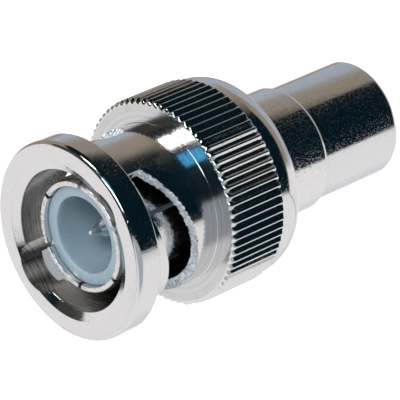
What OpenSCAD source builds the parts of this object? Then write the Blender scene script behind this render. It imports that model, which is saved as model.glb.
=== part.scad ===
// BNC plug to RCA jack adapter, standing on its RCA end with the bayonet mouth up.
// Lengths are millimetres, the axis is Z and the origin is the centre of the RCA end face.

/* [Overall] */
// Height from the RCA end face to the bayonet mouth
total_len = 27; // [26.8:0.1:28]

/* [Coupling ring] */
// Diameter of the front flange
flange_d = 13.8; // [13.4:0.1:14.2]
// Length of the front flange
flange_len = 1.85; // [1.6:0.05:2]
// Edge break on the flange corners
flange_edge = 0.12; // [0.05:0.01:0.25]
// Diameter of the barrel behind the flange
barrel_d = 11.24; // [11:0.02:11.6]
// Length of the barrel from the flange to the knurl shoulder
barrel_len = 6.3; // [6.2:0.05:6.8]
// Fillet where the barrel meets the knurl shoulder
barrel_fillet = 0.15; // [0.05:0.05:0.3]
// Diameter over the knurl tips
knurl_d = 14.5; // [14.2:0.1:15]
// Length of the knurl with its front chamfer
knurl_len = 4.58; // [4:0.02:5]
// Number of knurl teeth
knurl_teeth = 76; // [60:1:90]
// Turn of the first tooth from the entry notch, in degrees
knurl_phase = 1.32; // [0:0.02:5]
// Width of a tooth's flat crest
knurl_crest_w = 0.12; // [0.08:0.01:0.24]
// Depth of the knurl grooves
knurl_depth = 0.22; // [0.2:0.01:0.3]
// Front chamfer of the knurl, measured along the radius
knurl_chamfer = 0.35; // [0.3:0.05:0.5]
// Length of the smooth band behind the knurl
band_len = 0.62; // [0.4:0.02:0.9]
// How far the smooth band lies below the knurl tips
band_drop = 0.18; // [0.1:0.01:0.2]
// Length of the rounded rear shoulder
round_len = 1.45; // [1.2:0.05:1.7]
// Radial drop of the rounded rear shoulder
round_drop = 0.72; // [0.5:0.02:1]
// Bore that takes the jack's barrel
mouth_bore_d = 9.84; // [9.8:0.02:9.9]
// Radial width of the chamfer at the mouth
mouth_chamfer = 0.62; // [0.4:0.02:0.7]
// Depth of the chamfer at the mouth
mouth_chamfer_depth = 0.3; // [0.2:0.05:0.5]
// Thickness of the inner lip that the washers press on
lip_t = 0.9; // [0.7:0.05:1.1]
// Depth of the recess in the rear face
recess_depth = 0.8; // [0.6:0.05:1]
// Diameter of the recess in the rear face
recess_d = 10; // [9.8:0.1:11]

/* [Bayonet cam] */
// Diameter of the round-bottomed entry notches
notch_d = 3.9; // [3.6:0.1:4.2]
// Radius that the entry notches reach
notch_reach = 5.88; // [5.8:0.02:6]
// Turn from an entry notch back to the start of its cam slot, in degrees
cam_start = 16; // [14:0.5:18]
// Turn from an entry notch to its detent, in degrees
cam_turn = 112; // [106:1:116]
// Mouth to the rear cam edge at the entry notch
cam_rear_entry = 4.7; // [4.5:0.05:4.9]
// Mouth to the rear cam edge at the detent
cam_rear_end = 6.65; // [6.5:0.05:6.9]
// How fast the rear cam edge flattens out
cam_flatten = 3; // [2.5:0.1:3.5]
// Mouth to the front cam edge, carried back to the entry notch
cam_front_entry = 2.28; // [2.2:0.02:2.4]
// Mouth to the front cam edge, carried on to the detent
cam_front_end = 4.55; // [4.4:0.05:4.6]
// How fast the front cam edge flattens out
cam_front_flatten = 1.7; // [1.4:0.1:2]
// Diameter of the detent pocket
detent_d = 2.4; // [2.3:0.05:2.6]

/* [Plug body] */
// Diameter of the slotted outer contact
contact_d = 8; // [7.9:0.02:8.1]
// Wall of the slotted outer contact
contact_wall = 0.52; // [0.45:0.01:0.6]
// Edge break at the contact tip
contact_edge = 0.16; // [0.1:0.02:0.25]
// Mouth to the contact tip
contact_recess = 1.05; // [0.8:0.05:1.3]
// Number of slits in the contact
slit_count = 6; // [4:1:8]
// Width of a slit
slit_w = 0.3; // [0.25:0.05:0.5]
// Length of a slit
slit_len = 5.6; // [4:0.1:7]
// Turn of the slits from the entry notches, in degrees
slit_phase = 44; // [0:1:60]
// Diameter of the body flange
body_flange_d = 9.56; // [9.4:0.02:9.6]
// Thickness of the body flange
body_flange_t = 1; // [0.8:0.05:1.2]
// Diameter of the stem behind the flange
stem_d = 7.6; // [7.4:0.05:7.7]
// Length of stem held in the RCA shell
stem_grip = 3; // [2.5:0.1:3.5]
// Depth of the retaining ring's groove
groove_depth = 0.35; // [0.25:0.05:0.4]

/* [Washers and seal] */
// Thickness of the flat thrust washer
washer_t = 0.3; // [0.2:0.05:0.4]
// Thickness of the wave washer's strip
wave_t = 0.25; // [0.2:0.05:0.3]
// Free height of the wave washer
wave_h = 1.2; // [1.1:0.05:1.4]
// Number of waves
wave_count = 3; // [2:1:4]
// Thickness of the retaining ring
clip_t = 0.4; // [0.3:0.05:0.5]
// Outer diameter of the retaining ring
clip_d = 9.1; // [8.8:0.1:9.3]
// Gap in the retaining ring
clip_gap = 2; // [1:0.1:3]
// Thickness of the face gasket
gasket_t = 0.75; // [0.6:0.05:0.9]

/* [Center contact] */
// Diameter of the center pin
pin_d = 1.35; // [1.32:0.01:1.37]
// Mouth to the tip of the center pin
pin_recess = 1.95; // [1.6:0.05:2.3]
// Length of the pin's conical nose
nose_len = 1.15; // [0.9:0.05:1.4]
// Length of the flare at the foot of the nose
flare_len = 0.48; // [0.4:0.02:0.56]
// Diameter of the waist above the flare
waist_d = 0.66; // [0.54:0.02:0.8]
// Length of the waist
waist_len = 0.22; // [0.1:0.02:0.3]
// Diameter of the rounded tip
nose_tip_d = 0.24; // [0.16:0.02:0.4]
// Diameter of the shank held in the insulator
shank_d = 1.7; // [1.5:0.05:1.8]
// Diameter of the collar that seats the pin in its insulator
collar_d = 2.2; // [1.9:0.1:2.6]
// Thickness of that collar
collar_t = 0.5; // [0.4:0.05:0.6]
// Length of tail held in the RCA contact
tail_len = 1.2; // [1:0.1:1.4]

/* [BNC insulator] */
// Diameter of the insulator's cup
cup_d = 5.34; // [5:0.02:5.6]
// Mouth to the insulator's front face
cup_recess = 1.4; // [1.2:0.05:1.8]
// Thickness of the insulator's base
cup_base_t = 1.2; // [1:0.05:1.5]
// How far the insulator's seat is sunk below the gasket's face
cup_sink = 0.2; // [0.1:0.05:0.4]

/* [RCA jack] */
// Diameter of the jack barrel
jack_d = 8.3; // [8.2:0.02:8.4]
// Length of the jack barrel
jack_len = 7.12; // [6.8:0.02:7.4]
// Diameter of the neck
neck_d = 8.9; // [8.7:0.05:9.1]
// Edge rounding at the neck's step and at the jack's mouth
jack_edge = 0.35; // [0.2:0.05:0.45]
// Bore of the jack barrel, which holds the insulator
jack_bore_d = 6.6; // [6.4:0.05:6.8]
// Mouth of the jack to the insulator's face
jack_recess = 0.25; // [0.1:0.05:0.5]
// Bore of the split socket, for the plug's pin
socket_d = 3.2; // [3.16:0.02:3.3]
// Wall of the split socket
socket_wall = 0.55; // [0.45:0.05:0.6]
// Depth of the split socket from the jack's mouth
socket_depth = 14.6; // [14:0.1:14.8]
// Number of slits in the socket
socket_slits = 4; // [2:1:4]
// Width of a socket slit
socket_slit_w = 0.35; // [0.25:0.05:0.4]
// Length of a socket slit
socket_slit_len = 6; // [4:0.5:8]
// Turn of the socket slits from the entry notches, in degrees
socket_phase = 45; // [0:1:90]
// Wall of the insulating sleeve between the socket and the stem
sleeve_t = 0.38; // [0.34:0.02:0.5]
// Pin hole in the insulator's face
pin_hole_d = 3.6; // [3.5:0.05:3.8]
// Thickness of the insulator's face over the socket
face_t = 0.8; // [0.6:0.05:1]

/* [Fits] */
// Radial play of the coupling ring on the stem
ring_play = 0.08; // [0.03:0.01:0.1]
// Radial room around washers and seals
loose_fit = 0.08; // [0.05:0.01:0.12]
// Radial room for pieces that are pushed together by hand
slip_fit = 0.02; // [0.01:0.01:0.04]
// Radial room that lets the split socket spread
spread_fit = 0.08; // [0.05:0.01:0.12]

/* [Hidden] */
$fn = 96;
overcut = 1;
lap = 0.01;
cam_steps = 15;
arc_steps = 8;
wave_steps = 72;
knurl_stock = 0.1;

flange_r = flange_d / 2;
barrel_r = barrel_d / 2;
knurl_r = knurl_d / 2;
blank_r = knurl_r + knurl_stock;
band_r = knurl_r - band_drop;
shoulder_r = knurl_r - knurl_chamfer;
mouth_r = mouth_bore_d / 2;
recess_r = recess_d / 2;
contact_r = contact_d / 2;
contact_bore_r = contact_r - contact_wall;
body_flange_r = body_flange_d / 2;
stem_r = stem_d / 2;
groove_r = stem_r - groove_depth;
lip_r = stem_r + ring_play;
clip_r = clip_d / 2;
pin_r = pin_d / 2;
shank_r = shank_d / 2;
collar_r = collar_d / 2;
cup_r = cup_d / 2;
jack_r = jack_d / 2;
neck_r = neck_d / 2;
jack_bore_r = jack_bore_d / 2;
socket_r = socket_d / 2;
socket_out_r = socket_r + socket_wall;
socket_room_r = socket_out_r + spread_fit;
sleeve_r = socket_room_r + sleeve_t;
stem_bore_r = sleeve_r + slip_fit;

// Stations of the coupling ring, from the mouth down.
flange_z = total_len - flange_len;
shoulder_z = flange_z - barrel_len;
knurl_end_z = shoulder_z - knurl_len;
band_end_z = knurl_end_z - band_len;
ring_end_z = band_end_z - round_len;
lip_bottom_z = ring_end_z + recess_depth;
lip_top_z = lip_bottom_z + lip_t;

// Stations of the body and the RCA side, from the ring's lip.
wave_z = lip_top_z + washer_t;
body_flange_z = wave_z + wave_h;
seal_z = body_flange_z + body_flange_t;
clip_z = lip_bottom_z - clip_t;
neck_top_z = clip_z - loose_fit;
stem_end_z = neck_top_z - stem_grip;
cup_seat_z = seal_z - cup_sink;
cup_floor_z = cup_seat_z + cup_base_t;
socket_top_z = cup_seat_z;
contact_tip_z = total_len - contact_recess;
cup_top_z = total_len - cup_recess;
pin_tip_z = total_len - pin_recess;
socket_z = jack_recess + face_t;

function polar(r, a) = [r * cos(a), r * sin(a)];

// Points of a quarter ellipse from angle a0 to a1 about [r, z].
function arc_points(r, z, rr, rz, a0, a1) = [
    for (i = [0 : arc_steps])
        let (a = a0 + (a1 - a0) * i / arc_steps)
        [r + rr * cos(a), z + rz * sin(a)]
];

// A piece turned about the axis from its half outline.
module turned(outline) rotate_extrude() polygon(outline);

// A hollow round piece between two heights.
module tube(r_out, r_in, z0, z1) turned([[r_in, z0], [r_out, z0], [r_out, z1], [r_in, z1]]);

// Straight slits cut inwards from one end of a sleeve, spaced evenly.
module slits(count, width, r, z0, z1, phase) {
    for (i = [0 : count - 1])
        rotate([0, 0, phase + 360 * i / count])
            translate([0, -width / 2, z0])
                cube([r + overcut, width, z1 - z0]);
}

// Section of the knurl: pointed grooves between flat-topped teeth.
module knurl_section() {
    pitch = 360 / knurl_teeth;
    root_r = knurl_r - knurl_depth;
    crest_half = asin(knurl_crest_w / 2 / knurl_r);
    polygon([
        for (i = [0 : knurl_teeth - 1])
            each [
                polar(root_r, knurl_phase + (i - 0.5) * pitch),
                polar(knurl_r, knurl_phase + i * pitch - crest_half),
                polar(knurl_r, knurl_phase + i * pitch + crest_half)
            ]
    ]);
}

// What the knurling tool removes from the blank.
module knurl_grooves() {
    difference() {
        translate([0, 0, knurl_end_z])
            cylinder(r = knurl_r + overcut, h = knurl_len);
        translate([0, 0, knurl_end_z - overcut])
            linear_extrude(knurl_len + 2 * overcut)
                knurl_section();
    }
}

// Distance from the mouth to the front and rear edges of a cam slot,
// with t turning from the entry notch at 0 to the detent at 1.
function cam_rise(t, flatten) = 1 - pow(1 - min(t, 1), flatten);
function cam_front(t) = cam_front_entry
    + (cam_front_end - cam_front_entry) * cam_rise(max(t, 0), cam_front_flatten);
function cam_rear(t) = cam_rear_entry + (cam_rear_end - cam_rear_entry)
    * (t < 0 ? cam_flatten * t : cam_rise(t, cam_flatten));

// A round-bottomed groove from the mouth down to the middle of the cam slot.
module entry_notch() {
    depth = (cam_front(0) + cam_rear(0)) / 2;
    translate([notch_reach - notch_d / 2, 0, total_len - depth])
        cylinder(d = notch_d, h = depth + overcut);
}

// One bayonet cam: entry notch, sloping slot through the barrel wall, and detent pocket.
module cam_slot() {
    step = (cam_turn + cam_start) / cam_steps;
    half = barrel_r * tan(step / 2) + lap;
    entry_notch();
    for (i = [0 : cam_steps - 1]) {
        a = i * step - cam_start;
        t0 = a / cam_turn;
        t1 = (a + step) / cam_turn;
        rotate([0, 0, -a - step / 2])
            translate([mouth_r - overcut, 0, total_len])
                rotate([90, 0, 90])
                    linear_extrude(barrel_r - mouth_r + 2 * overcut)
                        polygon([
                            [half, -cam_front(t0)], [half, -cam_rear(t0)],
                            [-half, -cam_rear(t1)], [-half, -cam_front(t1)]
                        ]);
    }
    rotate([0, 0, -cam_turn])
        translate([mouth_r - overcut, 0, total_len - cam_rear_end + detent_d / 2])
            rotate([0, 90, 0])
                cylinder(d = detent_d, h = barrel_r - mouth_r + 2 * overcut);
}

module coupling_ring() {
    color("gainsboro")
        difference() {
            turned(concat(
                [
                    [lip_r, lip_top_z], [lip_r, lip_bottom_z],
                    [recess_r, lip_bottom_z], [recess_r, ring_end_z]
                ],
                arc_points(band_r - round_drop, band_end_z, round_drop, round_len, -90, 0),
                [
                    [band_r, knurl_end_z], [blank_r, knurl_end_z],
                    [blank_r, shoulder_z - knurl_chamfer - knurl_stock], [shoulder_r, shoulder_z]
                ],
                arc_points(
                    barrel_r + barrel_fillet, shoulder_z + barrel_fillet,
                    barrel_fillet, barrel_fillet, 270, 180
                ),
                [
                    [barrel_r, flange_z], [flange_r - flange_edge, flange_z],
                    [flange_r, flange_z + flange_edge], [flange_r, total_len - flange_edge],
                    [flange_r - flange_edge, total_len], [mouth_r + mouth_chamfer, total_len],
                    [mouth_r, total_len - mouth_chamfer_depth], [mouth_r, lip_top_z]
                ]
            ));
            knurl_grooves();
            cam_slot();
            rotate([0, 0, 180])
                cam_slot();
        }
}

module plug_body() {
    color("silver")
        difference() {
            turned([
                [stem_bore_r, stem_end_z], [stem_r, stem_end_z], [stem_r, clip_z],
                [groove_r, clip_z], [groove_r, lip_bottom_z], [stem_r, lip_bottom_z],
                [stem_r, body_flange_z], [body_flange_r, body_flange_z], [body_flange_r, seal_z],
                [contact_r, seal_z], [contact_r, contact_tip_z - 2 * contact_edge],
                [contact_r - contact_edge, contact_tip_z], [contact_bore_r, contact_tip_z],
                [contact_bore_r, cup_seat_z], [stem_bore_r, cup_seat_z]
            ]);
            slits(
                slit_count, slit_w, contact_r,
                contact_tip_z - slit_len, contact_tip_z + overcut, slit_phase
            );
        }
}

module bnc_insulator() {
    r = contact_bore_r - slip_fit;
    color("lightsteelblue")
        turned([
            [collar_r + slip_fit, cup_seat_z], [r, cup_seat_z], [r, cup_top_z], [cup_r, cup_top_z],
            [cup_r, cup_floor_z], [shank_r + slip_fit, cup_floor_z],
            [shank_r + slip_fit, cup_seat_z + collar_t], [collar_r + slip_fit, cup_seat_z + collar_t]
        ]);
}

module center_pin() {
    nose_z = pin_tip_z - nose_len;
    waist_z = nose_z + flare_len;
    color("lightgrey")
        turned([
            [0, cup_seat_z - tail_len], [pin_r, cup_seat_z - tail_len], [pin_r, cup_seat_z],
            [collar_r, cup_seat_z], [collar_r, cup_seat_z + collar_t], [shank_r, cup_seat_z + collar_t],
            [shank_r, cup_floor_z], [pin_r, cup_floor_z], [pin_r, nose_z],
            [waist_d / 2, waist_z], [waist_d / 2, waist_z + waist_len],
            [nose_tip_d / 2, pin_tip_z], [0, pin_tip_z]
        ]);
}

module face_gasket() {
    color("dimgray")
        tube(body_flange_r - slip_fit, contact_r + slip_fit, seal_z, seal_z + gasket_t);
}

// A flat strip bent into even waves round the axis.
module wave_washer() {
    r_in = stem_r + loose_fit;
    r_out = mouth_r - loose_fit;
    rise = wave_h - wave_t;
    function wave_at(i) = wave_z + rise * (1 + cos(wave_count * 360 * i / wave_steps)) / 2;
    function ring_at(i) = let (a = 360 * i / wave_steps, z = wave_at(i)) [
        concat(polar(r_in, a), z), concat(polar(r_out, a), z),
        concat(polar(r_out, a), z + wave_t), concat(polar(r_in, a), z + wave_t)
    ];
    points = [for (i = [0 : wave_steps - 1]) each ring_at(i)];
    faces = [
        for (i = [0 : wave_steps - 1], k = [0 : 3])
            let (a = 4 * i, b = 4 * ((i + 1) % wave_steps), n = (k + 1) % 4)
            each [[a + k, b + n, b + k], [a + k, a + n, b + n]]
    ];
    color("darkgray")
        polyhedron(points, faces);
}

module thrust_washer() {
    color("darkgray")
        tube(mouth_r - loose_fit, stem_r + loose_fit, lip_top_z, wave_z);
}

module retaining_ring() {
    color("darkgray")
        difference() {
            tube(clip_r, groove_r + slip_fit, clip_z, lip_bottom_z);
            translate([0, -clip_gap / 2, clip_z - overcut])
                cube([clip_r + overcut, clip_gap, clip_t + 2 * overcut]);
        }
}

module rca_shell() {
    color("gainsboro")
        turned(concat(
            [[jack_bore_r, stem_end_z], [jack_bore_r, 0]],
            arc_points(jack_r - jack_edge, jack_edge, jack_edge, jack_edge, -90, 0),
            arc_points(jack_r, jack_len + jack_edge, neck_r - jack_r, jack_edge, -90, 0),
            [[neck_r, neck_top_z], [stem_r, neck_top_z], [stem_r, stem_end_z]]
        ));
}

module rca_insulator() {
    bush_r = jack_bore_r - slip_fit;
    color("white")
        turned([
            [pin_hole_d / 2, jack_recess], [bush_r, jack_recess], [bush_r, stem_end_z],
            [sleeve_r, stem_end_z], [sleeve_r, socket_top_z], [socket_room_r, socket_top_z],
            [socket_room_r, socket_z], [pin_hole_d / 2, socket_z]
        ]);
}

module rca_contact() {
    color("lightgrey")
        difference() {
            translate([0, 0, socket_z])
                cylinder(r = socket_out_r, h = socket_top_z - socket_z);
            translate([0, 0, socket_z - overcut])
                cylinder(r = socket_r, h = socket_depth - socket_z + overcut);
            translate([0, 0, socket_top_z - tail_len])
                cylinder(r = pin_r, h = tail_len + overcut);
            slits(
                socket_slits, socket_slit_w, socket_out_r,
                socket_z - overcut, socket_z + socket_slit_len, socket_phase
            );
        }
}

coupling_ring();
plug_body();
bnc_insulator();
center_pin();
face_gasket();
wave_washer();
thrust_washer();
retaining_ring();
rca_shell();
rca_insulator();
rca_contact();
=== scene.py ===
import math

import bmesh
import bpy
from mathutils import Matrix, Vector, noise


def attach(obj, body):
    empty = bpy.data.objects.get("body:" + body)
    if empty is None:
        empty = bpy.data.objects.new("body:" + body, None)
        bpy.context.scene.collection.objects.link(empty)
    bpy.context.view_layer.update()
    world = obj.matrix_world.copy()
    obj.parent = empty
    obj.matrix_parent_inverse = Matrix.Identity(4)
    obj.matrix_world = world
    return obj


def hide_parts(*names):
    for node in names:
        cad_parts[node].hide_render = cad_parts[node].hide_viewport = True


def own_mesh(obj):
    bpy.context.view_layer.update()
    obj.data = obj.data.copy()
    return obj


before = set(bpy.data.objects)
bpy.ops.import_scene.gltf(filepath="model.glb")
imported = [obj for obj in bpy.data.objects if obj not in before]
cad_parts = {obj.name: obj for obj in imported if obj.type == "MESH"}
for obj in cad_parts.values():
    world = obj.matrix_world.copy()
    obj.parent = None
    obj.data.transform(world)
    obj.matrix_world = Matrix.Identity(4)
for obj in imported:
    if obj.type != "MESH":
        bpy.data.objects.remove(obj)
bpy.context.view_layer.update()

# Plug body
# One brass bar, turned and nickel plated: a slit outer contact in front, a flange that carries
# the seal, and a stem that the coupling ring runs on and that is pushed into the jack's shell.
MM = 0.001
MERGE = 1e-7
CONTACT_R, CONTACT_BORE_R, CONTACT_TIP_Z = 4.0, 3.48, 25.95
TAPER, TAPER_LEN = 0.16, 0.32
STEM_R, STEM_BORE_R, STEM_END_Z = 3.8, 2.63, 9.52
GROOVE_R, CLIP_Z, LIP_Z = 3.45, 12.6, 13.0
SEAT_R, SEAT_Z, SEAL_Z, CUP_SEAT_Z = 4.78, 15.4, 16.4, 16.2
SLITS, SLIT_W, SLIT_DEPTH, SLIT_TURN, CUT_PAST = 6, 0.3, 5.6, 44, 1
# Roundings of edges, from a sharp corner to one that leads another piece in.
SHARP, DEBURRED, FINE, SLIGHT = 0, 0.03, 0.05, 0.06
BROKEN, EASED, ROUNDED, LEAD_IN = 0.08, 0.1, 0.12, 0.15
ROUND_STEPS = 5


def turned(outline, wedges, cuts):
    """A closed piece turned about the axis from its half outline: (radius, height, rounding) in mm."""
    bm = bmesh.new()
    corners = [bm.verts.new((r * MM, 0, z * MM)) for r, z, rounding in outline]
    bm.faces.new(corners)
    for size in sorted({rounding for r, z, rounding in outline if rounding}):
        alike = [v for v, (r, z, rounding) in zip(corners, outline) if rounding == size]
        bmesh.ops.bevel(bm, geom=alike, offset=size * MM, offset_type="OFFSET", segments=ROUND_STEPS,
                        profile=0.5, affect="VERTICES", material=-1, clamp_overlap=False)
    bmesh.ops.delete(bm, geom=bm.faces[:], context="FACES_ONLY")
    for edge in [e for e in bm.edges if max(v.co.x for v in e.verts) < MERGE]:
        bm.edges.remove(edge)
    # One wedge is swept from the outline, and then it is copied all round.
    for share, steps, copies in ((1 / wedges, cuts, False), (1 - 1 / wedges, wedges - 1, True)):
        bmesh.ops.spin(bm, geom=bm.verts[:] + bm.edges[:] + bm.faces[:], cent=(0, 0, 0), axis=(0, 0, 1),
                       dvec=(0, 0, 0), angle=math.tau * share, steps=steps, use_merge=False,
                       use_normal_flip=False, use_duplicate=copies)
    bmesh.ops.remove_doubles(bm, verts=bm.verts, dist=MERGE)
    bmesh.ops.recalc_face_normals(bm, faces=bm.faces)
    return bm


def as_object(bm, name):
    """A mesh object at the origin."""
    mesh = bpy.data.meshes.new(name)
    bm.to_mesh(mesh)
    bm.free()
    made = bpy.data.objects.new(name, mesh)
    bpy.context.scene.collection.objects.link(made)
    return made


def bake(piece):
    """Makes a piece's modifiers a lasting part of its mesh."""
    piece.data = bpy.data.meshes.new_from_object(
        piece.evaluated_get(bpy.context.evaluated_depsgraph_get()))
    piece.modifiers.clear()


def cut_away(piece, cutter):
    """Cuts the cutter's shape out of the piece for good."""
    cut = piece.modifiers.new("cut", "BOOLEAN")
    cut.object = cutter
    cut.operation = "DIFFERENCE"
    cut.solver = "MANIFOLD"
    bake(piece)
    bpy.data.objects.remove(cutter)


def crisp(piece, degrees=32):
    """Smooth faces that stay sharp where the piece turns a corner of that many degrees or more.

    The normals are weighted with the mesh in millimetres: in metres the faces are too small for it.
    """
    bm = bmesh.new()
    bm.from_mesh(piece.data)
    for face in bm.faces:
        face.smooth = True
    for edge in bm.edges:
        edge.smooth = edge.calc_face_angle(0) < math.radians(degrees)
    bmesh.ops.scale(bm, verts=bm.verts, vec=(1 / MM, 1 / MM, 1 / MM))
    bm.to_mesh(piece.data)
    bm.free()
    flat = piece.modifiers.new("flat faces", "WEIGHTED_NORMAL")
    flat.keep_sharp = True
    bake(piece)
    piece.data.transform(Matrix.Scale(MM, 4))


def slit_cutter(count, width, reach, low, high, phase):
    """Straight blades through the axis, one for each pair of opposite slits; sizes in mm."""
    bm = bmesh.new()
    for i in range(count // 2):
        blade = bmesh.ops.create_cube(bm, size=1)["verts"]
        bmesh.ops.scale(bm, verts=blade, vec=(2 * reach * MM, width * MM, (high - low) * MM))
        bmesh.ops.translate(bm, verts=blade, vec=(0, 0, (high + low) / 2 * MM))
        bmesh.ops.rotate(bm, verts=blade, cent=(0, 0, 0),
                         matrix=Matrix.Rotation(math.radians(phase + 360 * i / count), 3, "Z"))
    return as_object(bm, "slit cutter")


def add_node(tree, kind, **settings):
    """A new shader node with its settings."""
    made = tree.nodes.new("ShaderNode" + kind)
    for name, value in settings.items():
        setattr(made, name, value)
    return made


def wire(tree, socket, value):
    """Sets a socket to a constant, or links it to another node's output."""
    if isinstance(value, bpy.types.NodeSocket):
        tree.links.new(value, socket)
    else:
        socket.default_value = value


def calc(tree, operation, a, b=0.0, clamp=False):
    """A sum, product or the like of two values."""
    made = add_node(tree, "Math", operation=operation, use_clamp=clamp)
    wire(tree, made.inputs[0], a)
    wire(tree, made.inputs[1], b)
    return made.outputs[0]


def spread(tree, value, low, high, to_low, to_high):
    """Takes a value from one range to another, held at its ends."""
    made = add_node(tree, "MapRange", interpolation_type="SMOOTHSTEP")
    for socket, setting in zip(made.inputs, (value, low, high, to_low, to_high)):
        wire(tree, socket, setting)
    return made.outputs[0]


def blend(tree, factor, a, b):
    """Mixes two colours, each a constant or another node's output."""
    made = add_node(tree, "Mix", data_type="RGBA")
    wire(tree, made.inputs["Factor"], factor)
    for socket, colour in ((made.inputs["A"], a), (made.inputs["B"], b)):
        wire(tree, socket, colour if isinstance(colour, bpy.types.NodeSocket) else (*colour, 1))
    return made.outputs["Result"]


def raised(tree, height, size, under=None):
    """A bump of the given size in mm over the normal of another."""
    made = add_node(tree, "Bump")
    made.inputs["Distance"].default_value = size * MM
    wire(tree, made.inputs["Height"], height)
    if under:
        wire(tree, made.inputs["Normal"], under)
    return made.outputs["Normal"]


def finish_group(name, inputs, outputs):
    """An empty node group that follows a place on the piece, with its own settings and results."""
    group = bpy.data.node_groups.new(name, "ShaderNodeTree")
    group.interface.new_socket("Vector", in_out="INPUT", socket_type="NodeSocketVector")
    for label, value in inputs.items():
        socket = group.interface.new_socket(label, in_out="INPUT", socket_type="NodeSocketFloat")
        socket.default_value = value
    for label in outputs:
        group.interface.new_socket(label, in_out="OUTPUT", socket_type="NodeSocketFloat")
    return group, group.nodes.new("NodeGroupInput"), group.nodes.new("NodeGroupOutput")


# Rings left by the tool's feed: round the axis on a turned face, and along it on a turned wall.
WALL_FEED = 0.83
lathe_marks, given, result = finish_group("lathe marks", {"Feed": 0.15}, ["Height"])
from_axis = add_node(lathe_marks, "VectorMath", operation="MULTIPLY")
wire(lathe_marks, from_axis.inputs[0], given.outputs["Vector"])
from_axis.inputs[1].default_value = (1 / MM, 1 / MM, 0)
radius = add_node(lathe_marks, "VectorMath", operation="LENGTH")
wire(lathe_marks, radius.inputs[0], from_axis.outputs[0])
along = add_node(lathe_marks, "SeparateXYZ")
wire(lathe_marks, along.inputs[0], given.outputs["Vector"])
travel = calc(lathe_marks, "ADD", radius.outputs["Value"],
              calc(lathe_marks, "MULTIPLY", along.outputs[2], WALL_FEED / MM))
rings = add_node(lathe_marks, "TexNoise", noise_dimensions="1D")
wire(lathe_marks, rings.inputs["W"], calc(lathe_marks, "DIVIDE", travel, given.outputs["Feed"]))
rings.inputs["Scale"].default_value = 1
rings.inputs["Detail"].default_value = 3
rings.inputs["Roughness"].default_value = 0.65
wire(lathe_marks, result.inputs["Height"], rings.outputs[0])

# Fine pimples and pits in the plating, and the wider dull patches that handling leaves.
SPECK_EDGE, PATCH_LOW, PATCH_HIGH = 0.2, 0.42, 0.68
plating, given, result = finish_group("plating", {"Grain": 0.12, "Cover": 0.6}, ["Specks", "Dull"])
specks = add_node(plating, "TexNoise")
wire(plating, specks.inputs["Vector"], given.outputs["Vector"])
wire(plating, specks.inputs["Scale"], calc(plating, "DIVIDE", 1 / MM, given.outputs["Grain"]))
specks.inputs["Detail"].default_value = 2
cover_end = calc(plating, "ADD", given.outputs["Cover"], SPECK_EDGE)
wire(plating, result.inputs["Specks"],
     spread(plating, specks.outputs[0], given.outputs["Cover"], cover_end, 0, 1))
patches = add_node(plating, "TexNoise")
wire(plating, patches.inputs["Vector"], given.outputs["Vector"])
patches.inputs["Scale"].default_value = 420
patches.inputs["Detail"].default_value = 4
patches.inputs["Roughness"].default_value = 0.6
wire(plating, result.inputs["Dull"], spread(plating, patches.outputs[0], PATCH_LOW, PATCH_HIGH, 0, 1))


def new_finish(name):
    """A material, its nodes, its shader and the place on the piece that its patterns follow."""
    made = bpy.data.materials.new(name)
    made.use_nodes = True
    tree = made.node_tree
    return made, tree, tree.nodes["Principled BSDF"], add_node(tree, "TexCoord").outputs["Object"]


def plated(tree, place, grain, cover):
    """The masks of a plating: specks of a grain in mm, fewer with more cover, and dull patches."""
    skin = add_node(tree, "Group", node_tree=plating)
    wire(tree, skin.inputs["Vector"], place)
    skin.inputs["Grain"].default_value = grain
    skin.inputs["Cover"].default_value = cover
    return skin.outputs["Specks"], skin.outputs["Dull"]


PATCH_WEAR, SPECK_WEAR = 0.6, 0.5
RING_LOW, RING_HIGH, RING_LEAST = 0.35, 0.65, 0.5


def nickel(name, colour, shade, rough, *, feed, depth, grain, cover, height, metallic=1.0, ringed=False):
    """Plated metal: its colour, the shade of its specks or of its tool's rings, and two roughnesses.

    Feed and depth are those of the tool's marks, grain and height those of the specks, in mm.
    """
    made, tree, metal, place = new_finish(name)
    metal.inputs["Metallic"].default_value = metallic
    marks = add_node(tree, "Group", node_tree=lathe_marks)
    wire(tree, marks.inputs["Vector"], place)
    marks.inputs["Feed"].default_value = feed
    pimples, dull = plated(tree, place, grain, cover)
    stain = pimples
    if ringed:
        stain = calc(tree, "MULTIPLY", spread(tree, dull, 0, 1, RING_LEAST, 1),
                     spread(tree, marks.outputs["Height"], RING_LOW, RING_HIGH, 0, 1))
    wire(tree, metal.inputs["Base Color"], blend(tree, stain, colour, shade))
    worn = calc(tree, "ADD", calc(tree, "MULTIPLY", dull, PATCH_WEAR),
                calc(tree, "MULTIPLY", pimples, SPECK_WEAR), clamp=True)
    wire(tree, metal.inputs["Roughness"], spread(tree, worn, 0, 1, *rough))
    cut_marks = raised(tree, marks.outputs["Height"], depth)
    wire(tree, metal.inputs["Normal"], raised(tree, pimples, height, cut_marks))
    return made


def dress(piece, *finishes):
    """Gives a piece its finishes, the first on all of its faces."""
    for finish in finishes:
        piece.data.materials.append(finish)


def fit(piece, node, body):
    """Puts a piece in its CAD node's place."""
    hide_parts(node)
    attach(piece, body)


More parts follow.
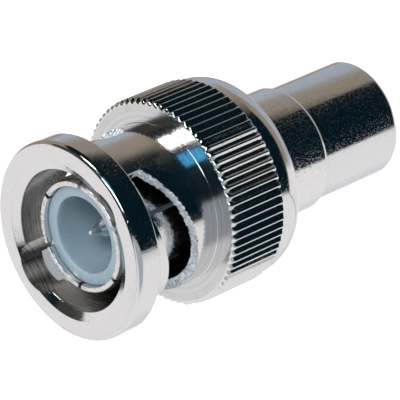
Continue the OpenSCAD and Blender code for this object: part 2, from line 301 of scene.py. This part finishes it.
body_nickel = nickel("turned nickel, body", (0.78, 0.77, 0.77), (0.70, 0.69, 0.68), (0.12, 0.28),
                     feed=0.14, depth=0.002, grain=0.13, cover=0.52, height=0.007)
plug = as_object(turned([
    (STEM_BORE_R, STEM_END_Z, SHARP), (STEM_R, STEM_END_Z, LEAD_IN), (STEM_R, CLIP_Z, DEBURRED),
    (GROOVE_R, CLIP_Z, SHARP), (GROOVE_R, LIP_Z, SHARP), (STEM_R, LIP_Z, DEBURRED),
    (STEM_R, SEAT_Z, SHARP), (SEAT_R, SEAT_Z, BROKEN), (SEAT_R, SEAL_Z, BROKEN),
    (CONTACT_R, SEAL_Z, SHARP), (CONTACT_R, CONTACT_TIP_Z - TAPER_LEN, EASED),
    (CONTACT_R - TAPER, CONTACT_TIP_Z, FINE), (CONTACT_BORE_R, CONTACT_TIP_Z, SLIGHT),
    (CONTACT_BORE_R, CUP_SEAT_Z, SHARP), (STEM_BORE_R, CUP_SEAT_Z, SHARP),
], wedges=24, cuts=12), "plug")
dress(plug, body_nickel)
cut_away(plug, slit_cutter(SLITS, SLIT_W, CONTACT_R + CUT_PAST, CONTACT_TIP_Z - SLIT_DEPTH,
                           CONTACT_TIP_Z + CUT_PAST, SLIT_TURN))
crisp(plug)
fit(plug, "plug_body", "adapter")

# Bayonet insulator
# A cup of pale blue-grey plastic, turned and pushed into the outer contact until it seats on the
# body; its base carries the center pin.
CUP_R, CUP_TOP_Z, CUP_FLOOR_Z, CUP_CORNER = 2.67, 25.6, 17.4, 0.25
SHANK_R, COLLAR_R, COLLAR_Z, SLIP = 0.85, 1.1, 16.7, 0.02
SKIN_COVER, SKIN_HEIGHT = 0.5, 0.0012
DUST_GRAIN, DUST_COVER, DUST_TONE = 0.16, 0.72, 0.4


def plastic(name, colour, shade, rough, *, gloss, grain, milky=0.25, scatter=(0.7, 0.9, 1.0), reach=0.6):
    """Smooth plastic with a faint mottle, a fine grain and a little dust.

    Grain, and the reach of the light that scatters inside, are in mm.
    """
    made, tree, body, place = new_finish(name)
    pores, dull = plated(tree, place, grain, SKIN_COVER)
    dust = plated(tree, place, DUST_GRAIN, DUST_COVER)[0]
    specked = blend(tree, dust, blend(tree, dull, colour, shade), [DUST_TONE * c for c in shade])
    wire(tree, body.inputs["Base Color"], specked)
    wire(tree, body.inputs["Roughness"], spread(tree, dull, 0, 1, *rough))
    body.inputs["Specular IOR Level"].default_value = gloss
    body.inputs["Subsurface Weight"].default_value = milky
    body.inputs["Subsurface Radius"].default_value = scatter
    body.inputs["Subsurface Scale"].default_value = reach * MM
    wire(tree, body.inputs["Normal"], raised(tree, pores, SKIN_HEIGHT))
    return made


cup_plastic = plastic("cup plastic", (0.37, 0.45, 0.50), (0.34, 0.415, 0.455), (0.2, 0.3),
                      gloss=0.5, grain=0.2, milky=0.8, scatter=(1, 1, 1), reach=1.2)
cup = as_object(turned([
    (COLLAR_R + SLIP, CUP_SEAT_Z, SHARP), (CONTACT_BORE_R - SLIP, CUP_SEAT_Z, EASED),
    (CONTACT_BORE_R - SLIP, CUP_TOP_Z, BROKEN), (CUP_R, CUP_TOP_Z, EASED),
    (CUP_R, CUP_FLOOR_Z, CUP_CORNER), (SHANK_R + SLIP, CUP_FLOOR_Z, SHARP),
    (SHANK_R + SLIP, COLLAR_Z, SHARP), (COLLAR_R + SLIP, COLLAR_Z, SHARP),
], wedges=24, cuts=8), "cup")
crisp(cup, degrees=40)
dress(cup, cup_plastic)
fit(cup, "bnc_insulator", "adapter")

# Center pin
# Turned brass with a plated skin: a slim pin with a flared foot to its pointed nose, a shank in
# the insulator and a collar that stops it from being pushed through.
PIN_R, PIN_TAIL_Z, PIN_TIP_Z = 0.675, 15.0, 25.05
NOSE_R, NOSE_Z, WAIST_Z, POINT_Z, TIP_R = 0.33, 23.9, 24.38, 24.6, 0.12
COLLAR_EDGE = 0.04
pin_metal = nickel("turned nickel, pin", (0.95, 0.95, 0.94), (0.82, 0.81, 0.80), (0.16, 0.30),
                   feed=0.09, depth=0.004, grain=0.08, cover=0.62, height=0.003)
pin = as_object(turned([
    (0, PIN_TAIL_Z, SHARP), (PIN_R, PIN_TAIL_Z, BROKEN), (PIN_R, CUP_SEAT_Z, SHARP),
    (COLLAR_R, CUP_SEAT_Z, COLLAR_EDGE), (COLLAR_R, COLLAR_Z, COLLAR_EDGE), (SHANK_R, COLLAR_Z, SHARP),
    (SHANK_R, CUP_FLOOR_Z, DEBURRED), (PIN_R, CUP_FLOOR_Z, SHARP), (PIN_R, NOSE_Z, SLIGHT),
    (NOSE_R, WAIST_Z, ROUNDED), (NOSE_R, POINT_Z, BROKEN), (TIP_R, PIN_TIP_Z, FINE),
    (0, PIN_TIP_Z, SHARP),
], wedges=12, cuts=8), "pin")
crisp(pin, degrees=40)
dress(pin, pin_metal)
fit(pin, "center_pin", "adapter")

# Face gasket
# A flat ring of dark rubber, moulded. It lies in the bottom of the mouth against the body's
# flange, where the rim of the mating jack presses on it.
GASKET_H = 0.75
seal_rubber, tree, rubber, place = new_finish("seal rubber")
pores, dull = plated(tree, place, grain=0.1, cover=0.45)
wire(tree, rubber.inputs["Base Color"], blend(tree, dull, (0.012, 0.012, 0.013), (0.03, 0.03, 0.03)))
wire(tree, rubber.inputs["Roughness"], spread(tree, pores, 0, 1, 0.55, 0.8))
wire(tree, rubber.inputs["Normal"], raised(tree, pores, size=0.004))
gasket = as_object(turned([
    (CONTACT_R + SLIP, SEAL_Z, FINE), (SEAT_R - SLIP, SEAL_Z, FINE),
    (SEAT_R - SLIP, SEAL_Z + GASKET_H, ROUNDED), (CONTACT_R + SLIP, SEAL_Z + GASKET_H, ROUNDED),
], wedges=16, cuts=8), "gasket")
crisp(gasket, degrees=40)
dress(gasket, seal_rubber)
fit(gasket, "face_gasket", "adapter")

# Spring washers and retaining ring
# Stamped spring steel, left grey: a wave washer and a flat washer that press the coupling ring
# back, and a split ring that snaps into the stem's groove behind it.
spring_steel = nickel("spring steel", (0.56, 0.55, 0.54), (0.40, 0.39, 0.38), (0.28, 0.5),
                      feed=0.2, depth=0.002, grain=0.14, cover=0.58, height=0.003)
for name in ("thrust_washer", "retaining_ring"):
    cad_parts[name].data.materials.clear()
    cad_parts[name].data.materials.append(spring_steel)
spring_bm = bmesh.new()
spring_bm.from_mesh(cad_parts["wave_washer"].data)
bmesh.ops.remove_doubles(spring_bm, verts=spring_bm.verts, dist=MERGE)
spring = as_object(spring_bm, "spring")
crisp(spring)
dress(spring, spring_steel)
fit(spring, "wave_washer", "adapter")
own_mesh(spring)

# Coupling ring
# Turned and bored from brass bar, knurled, milled with two bayonet cams and nickel plated; it
# hangs loose on the stem, so it turns and can be pulled forward against the wave washer.
MOUTH_Z, FLANGE_R, FLANGE_Z, MOUTH_EDGE = 27.0, 6.9, 25.15, 0.33
BARREL_R, BORE_R, SHOULDER_Z = 5.62, 4.92, 18.85
CHAMFER_R, CHAMFER_Z = 5.54, 26.7
KNURL_R, KNURL_END_Z, KNURL_CHAMFER = 7.25, 14.27, 0.35
# Rows of points up the knurl, close together where the burr is, and the rounding at its foot.
KNURL_ROWS, KNURL_FOOT_W, KNURL_FOOT_H = (15.5, 17.0, 18.2, 18.4), 0.12, 0.1
BAND_R, BAND_END_Z, ROUND_DROP = 7.07, 13.65, 0.72
LIP_R, LIP_TOP_Z, RECESS_R, RING_END_Z = 3.88, 13.9, 5.0, 12.2
TEETH, FIRST_TOOTH, TOOTH_DEPTH, CREST, EDGE_NICK = 76, 1.32, 0.22, 0.06, 0.25
BURR_TURN, BURR_Z, BURR_HEIGHT, BURR_DEGREES, BURR_TALL = -117.1, 18.45, 0.15, 0.6, 0.12
NEAR = 0.01
# Finishes of the ring's faces; the bored one is painted darker, painted shade for the inside and the
# notches.
OUTSIDE, BORED_PAINTED_SHADE, MILLED, FACED = range(4)


def arc(r, z, width, height, start, stop, steps):
    """Outline points of part of an ellipse about (r, z)."""
    angles = [math.radians(start + (stop - start) * i / steps) for i in range(steps + 1)]
    return [(r + width * math.cos(a), z + height * math.sin(a), SHARP) for a in angles]


ring_bm = turned(
    [(LIP_R, LIP_TOP_Z, FINE), (LIP_R, LIP_Z, FINE), (RECESS_R, LIP_Z, SHARP),
     (RECESS_R, RING_END_Z, BROKEN)]
    + arc(BAND_R - ROUND_DROP, BAND_END_Z, ROUND_DROP, BAND_END_Z - RING_END_Z, -90, 0, 16)
    + [(BAND_R, KNURL_END_Z, SHARP)]
    + arc(KNURL_R - KNURL_FOOT_W, KNURL_END_Z + KNURL_FOOT_H, KNURL_FOOT_W, KNURL_FOOT_H, -90, 0, 4)
    + [(KNURL_R, z, SHARP) for z in KNURL_ROWS]
    + arc(KNURL_R - KNURL_CHAMFER, SHOULDER_Z - KNURL_CHAMFER, KNURL_CHAMFER, KNURL_CHAMFER, 0, 90, 9)
    + [(BARREL_R, SHOULDER_Z, SLIGHT), (BARREL_R, FLANGE_Z, FINE), (FLANGE_R, FLANGE_Z, ROUNDED),
       (FLANGE_R, MOUTH_Z, MOUTH_EDGE), (CHAMFER_R, MOUTH_Z, DEBURRED), (BORE_R, CHAMFER_Z, DEBURRED),
       (BORE_R, LIP_TOP_Z, SHARP)], wedges=TEETH, cuts=12)
bmesh.ops.rotate(ring_bm, verts=ring_bm.verts, cent=(0, 0, 0),
                 matrix=Matrix.Rotation(math.radians(FIRST_TOOTH), 3, "Z"))
for v in ring_bm.verts:
    r, z, degrees = v.co.xy.length / MM, v.co.z / MM, math.degrees(math.atan2(v.co.y, v.co.x))
    if r > KNURL_R - KNURL_CHAMFER - NEAR and KNURL_END_Z + NEAR / 2 < z < SHOULDER_Z + NEAR:
        tooth = (degrees - FIRST_TOOTH) * TEETH / 360
        off_crest = abs(tooth - round(tooth))
        run_out = min(max((SHOULDER_Z + EDGE_NICK - z) / (KNURL_CHAMFER + EDGE_NICK), 0), 1)
        crest_r = r if z > SHOULDER_Z - KNURL_CHAMFER else KNURL_R
        groove = crest_r - TOOTH_DEPTH * run_out * max(off_crest - CREST, 0) / (0.5 - CREST)
        burr = math.exp(-((degrees - BURR_TURN) / BURR_DEGREES) ** 2 - ((z - BURR_Z) / BURR_TALL) ** 2)
        v.co.xy *= (min(r, groove) + BURR_HEIGHT * burr) / r
ring = as_object(ring_bm, "ring")
ring_nickel = nickel("turned nickel, ring", (0.78, 0.77, 0.77), (0.70, 0.69, 0.69), (0.09, 0.20),
                     feed=0.12, depth=0.0006, grain=0.12, cover=0.60, height=0.0035)
# Inside the ring and in the notches the nickel is rougher and ringed, and its colour is painted darker:
# painted shade.
bored_nickel_painted_shade = nickel("bored nickel, painted shade", (0.42, 0.42, 0.40), (0.20, 0.20, 0.19), (0.2, 0.36),
                      feed=0.17, depth=0.03, grain=0.10, cover=0.6, height=0.004, ringed=True)
milled_nickel = nickel("milled nickel", (0.94, 0.95, 0.97), (0.60, 0.61, 0.63), (0.3, 0.5),
                       feed=0.2, depth=0.002, grain=0.22, cover=0.45, height=0.05, metallic=0.25)
faced_nickel = nickel("faced nickel", (0.70, 0.70, 0.705), (0.56, 0.565, 0.57), (0.13, 0.22),
                      feed=0.22, depth=0.0009, grain=0.10, cover=0.62, height=0.002, ringed=True)
dress(ring, ring_nickel, bored_nickel_painted_shade, milled_nickel, faced_nickel)

CAM_START, CAM_TURN, CAM_STEPS, DETENT_R = 16, 112, 288, 1.2
FRONT_ENTRY, FRONT_END, FRONT_FLATTEN = 2.28, 4.55, 1.7
REAR_ENTRY, REAR_END, REAR_FLATTEN = 4.7, 6.65, 3
NOTCH_R, NOTCH_REACH, NOTCH_DEPTH = 1.95, 5.88, 3.49
# How the cutter tore the walls: two sizes of tear, each along, across and how strong; the pitch of
# its chatter, which tightens along the cam and slants across the wall; the broken edges;
# and the rows of points in the wall, counted from the bore.
TEARS, REAR_TEAR, FRONT_TEAR = ((2.3, 1.5, 1.0), (6, 4, 0.6)), 0.06, 0.012
CHATTER, CHATTER_TIGHTEN, CHATTER_SLANT, CHATTER_DEPTH = 0.42, 0.12, 2, 0.09
CAM_EDGE, EDGE_WEAR, EDGE_TEAR, FRONT_EDGE = 0.05, 0.7, 0.8, 0.5
WALL_ROWS = (0.16, 0.28, 0.4, 0.53)


def cam_cutter(half_turn):
    """The milled shape of one cam, with the chatter of the cutter on its walls and broken edges."""
    outer, inner = BARREL_R - CAM_EDGE, BORE_R + CAM_EDGE
    wall = [inner] + [BORE_R + depth for depth in WALL_ROWS] + [outer]
    radii = [BORE_R - CUT_PAST, BORE_R - CAM_EDGE] + wall + [BARREL_R + CAM_EDGE, BARREL_R + CUT_PAST]
    # The front wall is marked by a height of 0 and the rear wall by 1, until both get their real ones.
    section = [(r, 0) for r in radii] + [(r, 1) for r in reversed(radii)]
    pocket_degrees = math.degrees(DETENT_R / BARREL_R) - 2 * NEAR
    bm = bmesh.new()
    bm.faces.new([bm.verts.new((r * MM, 0, mark)) for r, mark in section])
    bmesh.ops.rotate(bm, verts=bm.verts, cent=(0, 0, 0),
                     matrix=Matrix.Rotation(math.radians(CAM_START), 3, "Z"))
    bmesh.ops.spin(bm, geom=bm.verts[:] + bm.edges[:] + bm.faces[:], cent=(0, 0, 0), axis=(0, 0, 1),
                   dvec=(0, 0, 0), angle=-math.radians(CAM_START + CAM_TURN + pocket_degrees),
                   steps=CAM_STEPS, use_merge=False, use_normal_flip=False, use_duplicate=False)
    # Along the cam, t is the share of its turn, s the way round the barrel and off the way past the pocket.
    for v in bm.verts:
        r, a = v.co.xy.length / MM, -math.degrees(math.atan2(v.co.y, v.co.x))
        t, s = a / CAM_TURN, math.radians(a) * BARREL_R
        to_go = min(max(1 - t, 0), 1)
        front = FRONT_ENTRY + (FRONT_END - FRONT_ENTRY) * (1 - to_go ** FRONT_FLATTEN)
        rise = REAR_FLATTEN * t if t < 0 else 1 - to_go ** REAR_FLATTEN
        rear = REAR_ENTRY + (REAR_END - REAR_ENTRY) * rise
        pocket_z, off = REAR_END - DETENT_R, math.radians(a - CAM_TURN) * BARREL_R
        if abs(off) < DETENT_R:
            pocket = math.sqrt(DETENT_R ** 2 - off ** 2)
            front = pocket_z - pocket if off > 0 else min(front, pocket_z - pocket)
            rear = max(rear, pocket_z + pocket) if off < 0 else pocket_z + pocket
        ragged = sum(strength * noise.noise((u * s, w * r, half_turn)) for u, w, strength in TEARS)
        scallop = abs(math.sin(math.pi * s / (CHATTER - CHATTER_TIGHTEN * t) + CHATTER_SLANT * r))
        edge = min(max(r - outer, inner - r, 0), 2 * CAM_EDGE) * (EDGE_WEAR + EDGE_TEAR * ragged)
        if v.co.z > 0.5:
            v.co.z = (MOUTH_Z - rear - REAR_TEAR * ragged - CHATTER_DEPTH * scallop - edge) * MM
        else:
            v.co.z = (MOUTH_Z - front - FRONT_TEAR * ragged + FRONT_EDGE * edge) * MM
    bmesh.ops.rotate(bm, verts=bm.verts, cent=(0, 0, 0), matrix=Matrix.Rotation(half_turn, 3, "Z"))
    bmesh.ops.recalc_face_normals(bm, faces=bm.faces)
    for face in bm.faces:
        face.material_index = MILLED if face.calc_center_median().xy.length < outer * MM else OUTSIDE
    return as_object(bm, "cam cutter")


def notch_cutter(half_turn):
    """A round-bottomed groove from the mouth into the cam."""
    bm = bmesh.new()
    bmesh.ops.create_cone(bm, cap_ends=True, segments=128, radius1=NOTCH_R * MM, radius2=NOTCH_R * MM,
                          depth=2 * NOTCH_DEPTH * MM)
    bmesh.ops.translate(bm, verts=bm.verts, vec=((NOTCH_REACH - NOTCH_R) * MM, 0, MOUTH_Z * MM))
    bmesh.ops.rotate(bm, verts=bm.verts, cent=(0, 0, 0), matrix=Matrix.Rotation(half_turn, 3, "Z"))
    bmesh.ops.recalc_face_normals(bm, faces=bm.faces)
    # The notch walls take the bored finish with its painted shade.
    for face in bm.faces:
        face.material_index = BORED_PAINTED_SHADE
    return as_object(bm, "notch cutter")


for half_turn in (0, math.pi):
    cut_away(ring, notch_cutter(half_turn))
    cut_away(ring, cam_cutter(half_turn))
# Faces inside the ring take the bored finish with its painted shade; those of the shoulder take the faced
# finish.
for polygon in ring.data.polygons:
    r, z = polygon.center.xy.length / MM, polygon.center.z / MM
    if polygon.material_index == OUTSIDE and r < RECESS_R and z < CHAMFER_Z - NEAR:
        polygon.material_index = BORED_PAINTED_SHADE
    elif BARREL_R + FINE < r < KNURL_R - KNURL_CHAMFER and abs(z - SHOULDER_Z) < NEAR:
        polygon.material_index = FACED
crisp(ring)
fit(ring, "coupling_ring", "ring")

# Jack shell
# Turned brass, nickel plated with a fine speckle: a neck that is pushed over the body's stem and
# the round barrel that a phono plug's sleeve grips, with its end rounded over.
JACK_R, JACK_LEN, JACK_BORE_R = 4.15, 7.12, 3.3
NECK_R, NECK_TOP_Z, JACK_EDGE = 4.45, 12.52, 0.35
shell = as_object(turned(
    [(JACK_BORE_R, STEM_END_Z, SHARP), (JACK_BORE_R, 0, EASED), (JACK_R, 0, JACK_EDGE)]
    + arc(JACK_R, JACK_LEN + JACK_EDGE, NECK_R - JACK_R, JACK_EDGE, -90, 0, 8)
    + [(NECK_R, NECK_TOP_Z, SLIGHT), (STEM_R, NECK_TOP_Z, SHARP), (STEM_R, STEM_END_Z, SHARP)],
    wedges=24, cuts=10), "shell")
jack_nickel = nickel("speckled nickel, jack", (0.77, 0.77, 0.775), (0.67, 0.675, 0.68), (0.06, 0.15),
                     feed=0.16, depth=0.0004, grain=0.08, cover=0.57, height=0.0036)
neck_nickel = nickel("speckled nickel, neck", (0.81, 0.80, 0.80), (0.71, 0.71, 0.715), (0.05, 0.13),
                     feed=0.16, depth=0.0004, grain=0.08, cover=0.55, height=0.0038)
dress(shell, jack_nickel, neck_nickel)
for polygon in shell.data.polygons:
    polygon.material_index = int(polygon.center.z > JACK_LEN * MM)
crisp(shell)
fit(shell, "rca_shell", "adapter")

# Jack insulator
# A white plastic bush in the barrel with a hole for the plug's pin; behind it a thinner sleeve
# runs on between the socket and the stem.
PIN_HOLE_R, FACE_Z, SOCKET_Z, SOCKET_ROOM_R = 1.8, 0.25, 1.05, 2.23
SLEEVE_R = STEM_BORE_R - SLIP
bush_plastic = plastic("bush plastic", (0.80, 0.80, 0.77), (0.72, 0.72, 0.69), (0.3, 0.45),
                       gloss=0.45, grain=0.2)
bush = as_object(turned([
    (PIN_HOLE_R, FACE_Z, LEAD_IN), (JACK_BORE_R - SLIP, FACE_Z, EASED),
    (JACK_BORE_R - SLIP, STEM_END_Z, SHARP), (SLEEVE_R, STEM_END_Z, SHARP), (SLEEVE_R, CUP_SEAT_Z, FINE),
    (SOCKET_ROOM_R, CUP_SEAT_Z, SHARP), (SOCKET_ROOM_R, SOCKET_Z, SHARP), (PIN_HOLE_R, SOCKET_Z, SHARP),
], wedges=24, cuts=8), "bush")
crisp(bush, degrees=40)
dress(bush, bush_plastic)
fit(bush, "rca_insulator", "adapter")

# Split socket
# A turned tube, slit from its mouth so that its leaves grip the plug's pin; its closed end holds
# the tail of the center pin.
SOCKET_R, SOCKET_OUT_R, SOCKET_FLOOR_Z = 1.6, 2.15, 14.6
LEAVES, LEAF_GAP, LEAF_LEN, LEAF_TURN = 4, 0.35, 6, 45
socket = as_object(turned([
    (SOCKET_R, SOCKET_Z, ROUNDED), (SOCKET_OUT_R, SOCKET_Z, BROKEN), (SOCKET_OUT_R, CUP_SEAT_Z, FINE),
    (PIN_R, CUP_SEAT_Z, SHARP), (PIN_R, PIN_TAIL_Z, SHARP), (0, PIN_TAIL_Z, SHARP),
    (0, SOCKET_FLOOR_Z, SHARP), (SOCKET_R, SOCKET_FLOOR_Z, SHARP),
], wedges=16, cuts=8), "socket")
dress(socket, pin_metal)
cut_away(socket, slit_cutter(LEAVES, LEAF_GAP, SOCKET_OUT_R + CUT_PAST, SOCKET_Z - CUT_PAST,
                             SOCKET_Z + LEAF_LEN, LEAF_TURN))
crisp(socket)
fit(socket, "rca_contact", "adapter")

# Camera
# A long lens that looks down on the adapter from one side, over its mouth. It is rolled, so that the
# standing adapter lies on a slant in the picture.
AZIMUTH, TILT, ROLL, DISTANCE = 80.16, 51.8, -113.66, 0.23468
AIM = Vector((-0.158, -0.913, 15.552)) * MM
facing = (Matrix.Rotation(math.radians(AZIMUTH), 3, "Z") @ Matrix.Rotation(math.radians(TILT), 3, "X")
          @ Matrix.Rotation(math.radians(ROLL), 3, "Z"))
RIGHT, UP, BACK = facing.transposed()
eye = AIM + BACK * DISTANCE
lens = bpy.data.cameras.new("camera")
lens.lens = 315
lens.sensor_width = 36
lens.clip_start = 0.01
camera = bpy.data.objects.new("camera", lens)
bpy.context.scene.collection.objects.link(camera)
camera.matrix_world = Matrix.Translation(eye) @ facing.to_4x4()
bpy.context.scene.camera = camera

# Floor
# A plain white sweep that the adapter stands on, with a soft shadow round its foot and a painted
# shadow, a grey patch painted behind the near notch. Metal shows the studio's white, dark and tan sides in
# its place.
FLOOR_HALF, FLOOR_DROP = 1.2, 0.02
# Painted shadow: inside the first radius the paper is painted grey and loses its glow, fading out by the
# second.
PAINTED_SHADOW_R, PAINTED_SHADOW_OUT_R = 2.4, 3.6
PAPER, PAINTED_SHADOW_GREY, PAPER_GLOW = (0.9, 0.9, 0.9), (0.46, 0.46, 0.46), 0.82
floor_bm = bmesh.new()
bmesh.ops.create_grid(floor_bm, x_segments=1, y_segments=1, size=FLOOR_HALF)
bmesh.ops.translate(floor_bm, verts=floor_bm.verts, vec=(0, 0, -FLOOR_DROP * MM))
floor = as_object(floor_bm, "floor")
white_paper, tree, matte, place = new_finish("white paper")
# The painted shadow sits where the line of sight through the notch meets the paper.
notch = Vector((-NOTCH_REACH, 0, FLANGE_Z)) * MM
seen_through = notch + (notch - eye) * notch.z / (eye.z - notch.z)
from_painted_shadow = add_node(tree, "VectorMath", operation="DISTANCE")
wire(tree, from_painted_shadow.inputs[0], place)
from_painted_shadow.inputs[1].default_value = seen_through
outside_painted_shadow = spread(tree, from_painted_shadow.outputs["Value"], PAINTED_SHADOW_R * MM, PAINTED_SHADOW_OUT_R * MM, 0, 1)
wire(tree, matte.inputs["Base Color"], blend(tree, outside_painted_shadow, PAINTED_SHADOW_GREY, PAPER))
matte.inputs["Roughness"].default_value = 0.9
matte.inputs["Specular IOR Level"].default_value = 0
glow = add_node(tree, "Emission")
direct = add_node(tree, "LightPath").outputs["Is Camera Ray"]
wire(tree, glow.inputs["Strength"], calc(tree, "MULTIPLY", direct, calc(tree, "MULTIPLY", outside_painted_shadow, PAPER_GLOW)))
both = add_node(tree, "AddShader")
wire(tree, both.inputs[0], matte.outputs[0])
wire(tree, both.inputs[1], glow.outputs[0])
wire(tree, tree.nodes["Material Output"].inputs["Surface"], both.outputs[0])
dress(floor, white_paper)
floor.visible_glossy = False

# Studio
# What the metal mirrors: white paper below, a dark room on the camera's side, a tan and grey ceiling
# and a low white wall behind, a flag at the far left, and a blue, a white and a strip lamp. A fourth
# lamp, a wide one that the metal doesn't mirror, fills the plastic cup with light.
WHITE, DIM, SHADED = (0.91, 0.90, 0.91), (0.72, 0.74, 0.77), (0.43, 0.47, 0.51)
GREY, TAN, DARK = (0.43, 0.47, 0.54), (0.33, 0.285, 0.225), (0.002, 0.010, 0.016)
LAMP_DISTANCE, FLAG_DEPTH = 0.3, 0.85
studio = bpy.data.worlds.new("studio")
studio.use_nodes = True
tree = studio.node_tree
look = add_node(tree, "TexCoord").outputs["Generated"]


def ramp(axis, limit, soft, low=0, high=1):
    """A value that turns from low to high where the direction of view passes a limit along an axis."""
    made = add_node(tree, "VectorMath", operation="DOT_PRODUCT")
    wire(tree, made.inputs[0], look)
    made.inputs[1].default_value = axis
    return spread(tree, made.outputs["Value"], limit - soft, limit + soft, low, high)


def above(axis, limit, soft, low, high):
    """One colour below a limit along an axis and another above it."""
    return blend(tree, ramp(axis, limit, soft), low, high)


# The dark room reaches round both sides and ends behind the part; the flag carries on from it.
dark_front = calc(tree, "MAXIMUM", ramp(BACK, -0.05, 0.03), ramp(BACK - RIGHT * 0.76, -0.41, 0.03))
dark_side = calc(tree, "MULTIPLY", dark_front, ramp(BACK + RIGHT * 0.92, -0.60, 0.04))
flag = calc(tree, "MULTIPLY", ramp(RIGHT, -0.83, 0.03, 1, 0), ramp(BACK, -0.11, 0.03, 0, FLAG_DEPTH))
room = blend(tree, calc(tree, "MAXIMUM", dark_side, flag), TAN, DARK)
# The grey part of the ceiling, with a tan and then a white rim far behind the part.
grey_slant = ramp(BACK - RIGHT * 1.05, -0.605, 0.045, 1, 0)
grey_part = calc(tree, "MULTIPLY", grey_slant, ramp(BACK, -0.36, 0.04, 1, 0))
room = blend(tree, grey_part, room, GREY)
room = above(BACK, -0.88, 0.03, TAN, room)
room = above(BACK, -0.95, 0.01, WHITE, room)
# The white wall low behind the part.
white_wall = calc(tree, "MULTIPLY", ramp(UP, 0.20, 0.06, 1, 0), ramp(BACK, -0.10, 0.03, 1, 0))
room = blend(tree, white_wall, room, WHITE)
# The paper below, shaded towards the camera and dim far away; its edge is a dark and a white line.
sweep = above(BACK + RIGHT * 0.3, 0.36, 0.12, WHITE, SHADED)
sweep = above(BACK, -0.78, 0.14, DIM, sweep)
PAPER_END = UP - RIGHT * 0.18
white_line = above(PAPER_END, -0.345, 0.004, WHITE, room)
dark_line = above(PAPER_END, -0.353, 0.004, DARK, white_line)
surround = above(PAPER_END, -0.366, 0.008, sweep, dark_line)
sky = tree.nodes["Background"]
direct = add_node(tree, "LightPath").outputs["Is Camera Ray"]
wire(tree, sky.inputs["Color"], blend(tree, direct, surround, (1, 1, 1)))
sky.inputs["Strength"].default_value = 1
bpy.context.scene.world = studio


def soft_lamp(name, aim, size, colour, power):
    """A rectangular lamp that looks at the part from a direction along the camera's axes."""
    light = bpy.data.lights.new(name, "AREA")
    light.shape = "RECTANGLE"
    light.size, light.size_y = size
    light.color = colour
    light.energy = power
    lamp = bpy.data.objects.new(name, light)
    bpy.context.scene.collection.objects.link(lamp)
    away = (RIGHT * aim[0] + UP * aim[1] + BACK * aim[2]).normalized()
    lamp.location = AIM + away * LAMP_DISTANCE
    lamp.rotation_euler = away.to_track_quat("Z", "Y").to_euler()
    return lamp


soft_lamp("blue lamp", (-0.30, 0.41, 0.86), (0.08, 0.05), (0.09, 0.55, 1.0), 0.016)
soft_lamp("white lamp", (-0.625, 0.55, 0.555), (0.075, 0.05), (1.0, 0.94, 0.84), 0.16)
soft_lamp("strip lamp", (-0.62, 0.02, 0.78), (0.13, 0.03), (0.75, 0.90, 1.0), 0.25)
fill_lamp = soft_lamp("fill lamp", (-0.15, 0.22, 0.96), (0.12, 0.12), (0.80, 0.92, 1.0), 0.5)
fill_lamp.visible_glossy = False
bpy.context.scene.view_settings.view_transform = "Standard"
